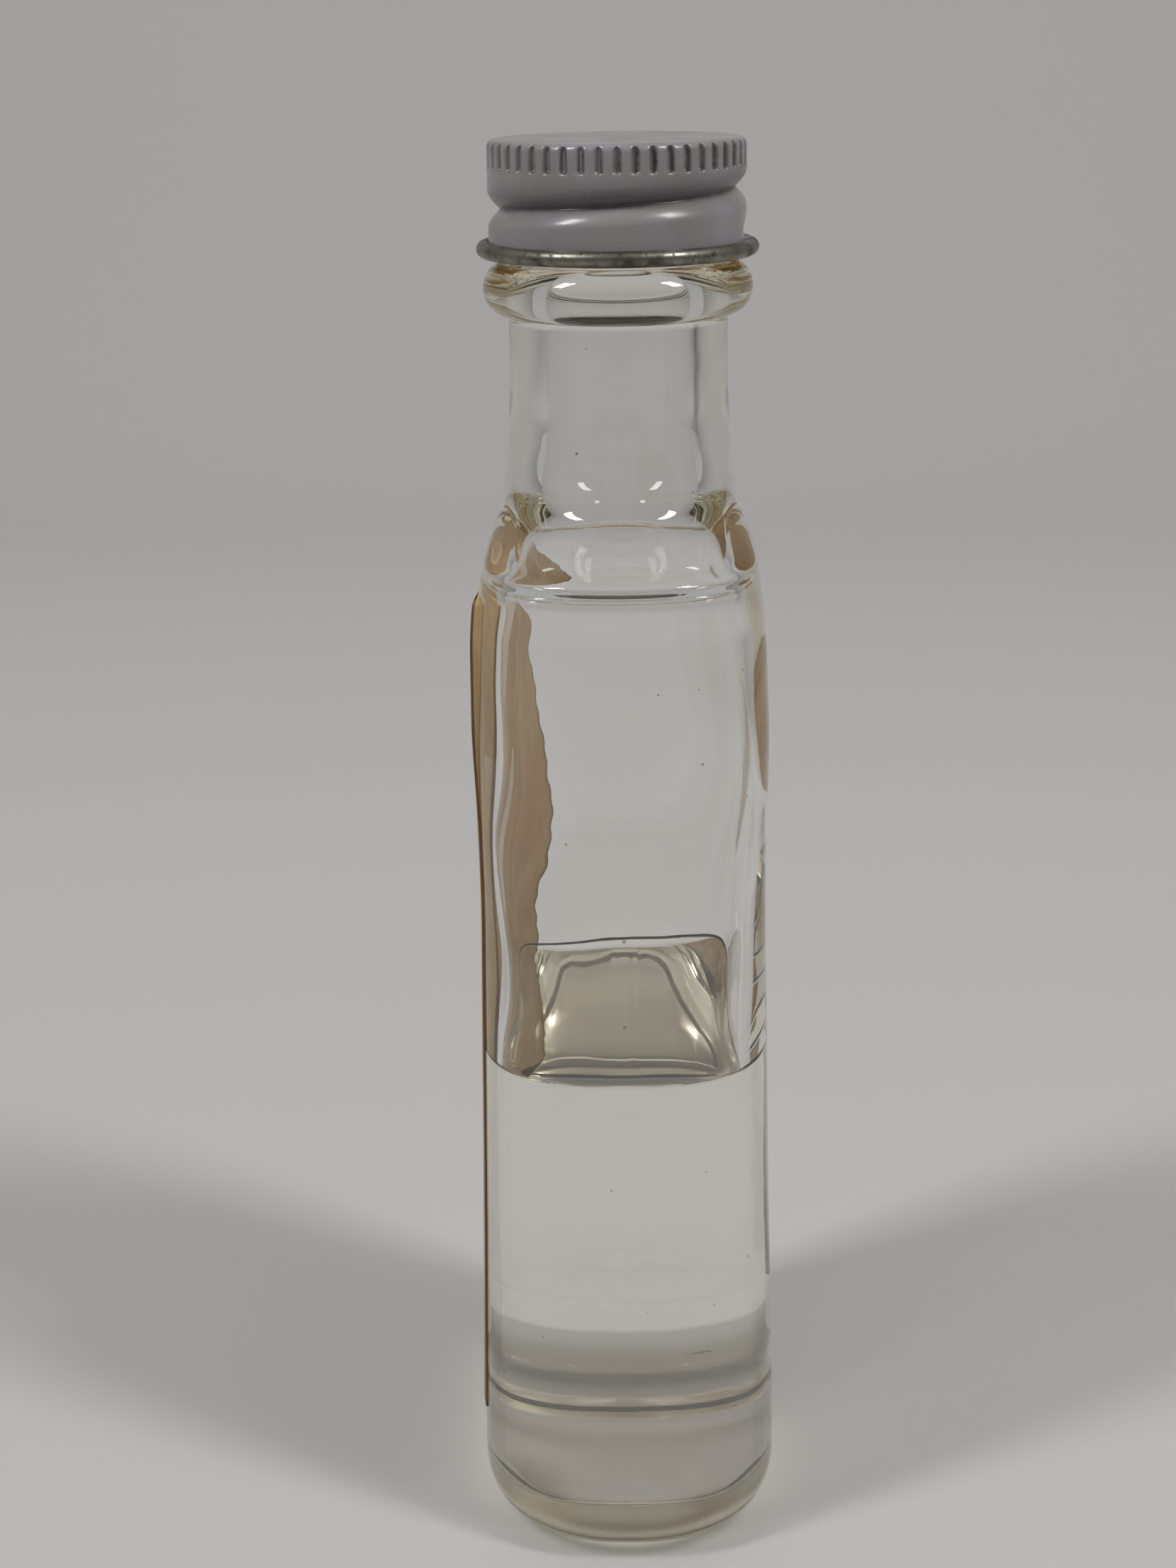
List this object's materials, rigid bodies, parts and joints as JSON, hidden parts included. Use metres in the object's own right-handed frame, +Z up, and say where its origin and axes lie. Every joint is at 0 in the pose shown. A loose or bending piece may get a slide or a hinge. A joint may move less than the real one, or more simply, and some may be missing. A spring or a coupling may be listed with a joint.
{
  "type": "extract bottle",
  "caption": "Flat clear-glass bottle with rounded narrow ends, round neck and collar ring, white fluted metal screw cap and a paper label on a wide face, half full of pale liquid.",
  "frame": {"origin": "middle of the base, on the surface the bottle stands on and on the axis of its neck and cap", "axes": "+Z up along the neck's axis; X across the two wide faces, with the label on the -X face; Y along the bottle's depth, from narrow end to narrow end"},
  "size_m": [0.0263, 0.0396, 0.1181],
  "materials": {
    "flint_glass": "polished",
    "white_lacquer": "satin",
    "pulpboard": "matte",
    "label_paper": "matte",
    "extract": "polished"
  },
  "bodies": {
    "bottle": {"glass_bottle": "flint_glass", "paper_label": "label_paper", "extract_liquid": "extract"},
    "liner": {"cap_liner": "pulpboard"},
    "cap": {"screw_cap": "white_lacquer"}
  },
  "joints": [
    {"name": "cap_lift", "type": "slide", "parent": "bottle", "child": "liner", "axis": [0, 0, 1], "range_m": [0, 0.00953]},
    {"name": "cap_turn", "type": "hinge", "parent": "liner", "child": "cap", "pos_m": [0, 0, 0.1095], "axis": [0, 0, 1], "range_deg": [0, 1080]}
  ],
  "couplings": [
    {"joint": "cap_lift", "follows": "cap_turn", "m_per_rad": 0.00050532}
  ]
}
